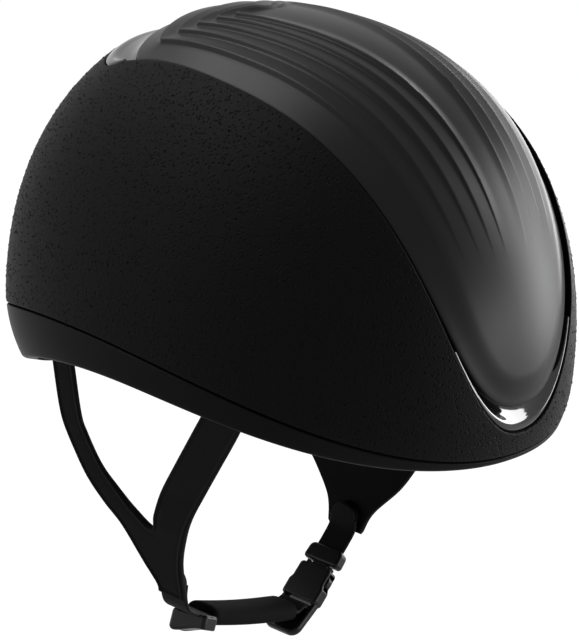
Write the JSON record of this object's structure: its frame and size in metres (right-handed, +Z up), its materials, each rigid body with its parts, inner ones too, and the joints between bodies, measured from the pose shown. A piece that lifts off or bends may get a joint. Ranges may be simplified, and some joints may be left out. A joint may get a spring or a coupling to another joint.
{
  "type": "skull cap riding helmet",
  "caption": "Peakless riding helmet: pebbled shell, rippled crown panel, foam liner and comfort pads, with a padded chin strap and a side-release buckle.",
  "frame": {"origin": "the middle of the head space, level with the widest part of the shell", "axes": "+Z up towards the crown, -Y towards the front, -X towards the wearer's right"},
  "size_m": [0.212, 0.2852, 0.3038],
  "materials": {
    "shell_matt": "matt black with a fine pebbled grain",
    "panel_satin": "smooth satin black",
    "trim_gloss": "polished black",
    "band_matt": "smooth matt black",
    "foam": "moulded black foam with a fine bead grain",
    "pad_cloth": "soft black knitted cloth",
    "hook_tape": "black hook tape",
    "anchor_steel": "plated steel",
    "harness": "smooth black coated strap with a folded edge",
    "webbing": "black woven webbing",
    "chin_cloth": "soft black padded sleeve",
    "buckle_plastic": "semi-gloss black moulded plastic"
  },
  "bodies": {
    "helmet": {"outer_shell": "shell_matt", "vent_panel": "panel_satin", "front_vent_trim": "trim_gloss", "rear_vent_trim": "trim_gloss", "panel_pegs": "buckle_plastic", "rim_band": "band_matt", "impact_liner": "foam", "crown_pad": "pad_cloth", "brow_pad": "pad_cloth", "side_pad_right": "pad_cloth", "side_pad_left": "pad_cloth", "nape_pad": "pad_cloth", "pad_fasteners": "hook_tape", "anchor_plates": "anchor_steel", "anchor_rivets": "anchor_steel", "front_strap_right": "harness", "rear_strap_right": "harness", "yoke_right": "harness", "front_strap_left": "harness", "rear_strap_left": "harness", "yoke_left": "harness"},
    "strap_end": {"lower_webbing": "webbing"},
    "chin_strap": {"strap_adjuster": "buckle_plastic", "chin_webbing": "webbing", "chin_pad": "chin_cloth", "buckle_socket": "buckle_plastic"},
    "strap_tail": {"tail_webbing": "webbing", "buckle_plug": "buckle_plastic"},
    "prong_front": {"plug_prong_front": "buckle_plastic"},
    "prong_rear": {"plug_prong_rear": "buckle_plastic"}
  },
  "joints": [
    {"name": "chin_swing", "type": "hinge", "parent": "helmet", "child": "strap_end", "pos_m": [0, 0.0058, -0.114], "axis": [0.9994, 0.0349, 0], "range_deg": [-40, 40]},
    {"name": "tail_swing", "type": "hinge", "parent": "helmet", "child": "strap_tail", "pos_m": [0, 0.0058, -0.114], "axis": [0.9994, 0.0349, 0], "range_deg": [-40, 40]},
    {"name": "buckle_release", "type": "slide", "parent": "strap_end", "child": "chin_strap", "axis": [-0.6816, -0.0238, -0.7314], "range_m": [0, 0.012]},
    {"name": "prong_rear_flex", "type": "hinge", "parent": "strap_tail", "child": "prong_rear", "pos_m": [0.04265, 0.01369, -0.13581], "axis": [0.7309, 0.0255, -0.682], "range_deg": [-30, 0]},
    {"name": "prong_front_flex", "type": "hinge", "parent": "strap_tail", "child": "prong_front", "pos_m": [0.0431, 0.0009, -0.13581], "axis": [0.7309, 0.0255, -0.682], "range_deg": [0, 30]}
  ],
  "couplings": [
    {"joint": "tail_swing", "follows": "chin_swing", "ratio": 1},
    {"joint": "prong_rear_flex", "follows": "buckle_release", "rad_per_m": -40},
    {"joint": "prong_front_flex", "follows": "buckle_release", "rad_per_m": 40}
  ]
}
